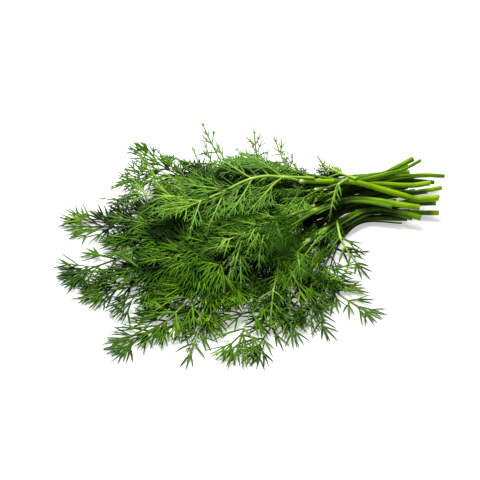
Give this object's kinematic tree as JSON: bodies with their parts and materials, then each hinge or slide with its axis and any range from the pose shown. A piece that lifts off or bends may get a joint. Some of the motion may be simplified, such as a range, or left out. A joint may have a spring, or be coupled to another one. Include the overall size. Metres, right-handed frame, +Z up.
{
  "type": "bunch of dill",
  "caption": "Loose bunch of fresh dill lying on its side, with bare cut stems at one end and a wide fan of feathery leaves.",
  "frame": {"origin": "on the surface that the bunch lies on, under the middle of its length and width", "axes": "+X towards the cut ends of the stems, +Y towards the side where the stems leave the fan, +Z up"},
  "size_m": [0.2762, 0.2064, 0.0446],
  "materials": {
    "stem": "fresh smooth stem, slightly waxy",
    "leaf": "fresh soft thread-like leaf, matte with a faint sheen"
  },
  "bodies": {
    "root": {"leaf_01_end": "leaf", "leaf_01_side_1": "leaf", "leaf_02_end": "leaf", "leaf_02_side_1": "leaf", "leaf_03_end": "leaf", "leaf_03_side_1": "leaf", "leaf_04_end": "leaf", "leaf_04_side_1": "leaf", "leaf_05_end": "leaf", "leaf_05_side_1": "leaf", "leaf_06_end": "leaf", "leaf_06_side_1": "leaf", "leaf_07_end": "leaf", "leaf_07_side_1": "leaf", "leaf_08_end": "leaf", "leaf_08_side_1": "leaf", "leaf_09_end": "leaf", "leaf_09_side_1": "leaf", "leaf_10_end": "leaf", "leaf_10_side_1": "leaf", "leaf_11_end": "leaf", "leaf_11_side_1": "leaf", "leaf_11_side_2": "leaf", "leaf_12_end": "leaf", "leaf_12_side_1": "leaf", "leaf_13_end": "leaf", "leaf_13_side_1": "leaf", "leaf_13_side_2": "leaf", "leaf_14_end": "leaf", "leaf_14_side_1": "leaf", "leaf_15_end": "leaf", "leaf_15_side_1": "leaf", "leaf_16_end": "leaf", "leaf_16_side_1": "leaf", "leaf_17_end": "leaf", "leaf_17_side_1": "leaf", "leaf_18_end": "leaf", "leaf_18_side_1": "leaf", "leaf_18_side_2": "leaf", "leaf_18_side_3": "leaf", "stem_01": "stem", "stem_02": "stem", "stem_03": "stem", "stem_04": "stem", "stem_05": "stem", "stem_06": "stem", "stem_07": "stem", "stem_08": "stem", "stem_09": "stem", "stem_10": "stem", "stem_11": "stem", "stem_12": "stem", "stem_13": "stem", "stem_14": "stem", "stem_15": "stem", "stem_16": "stem", "stem_17": "stem", "stem_18": "stem"}
  },
  "joints": []
}
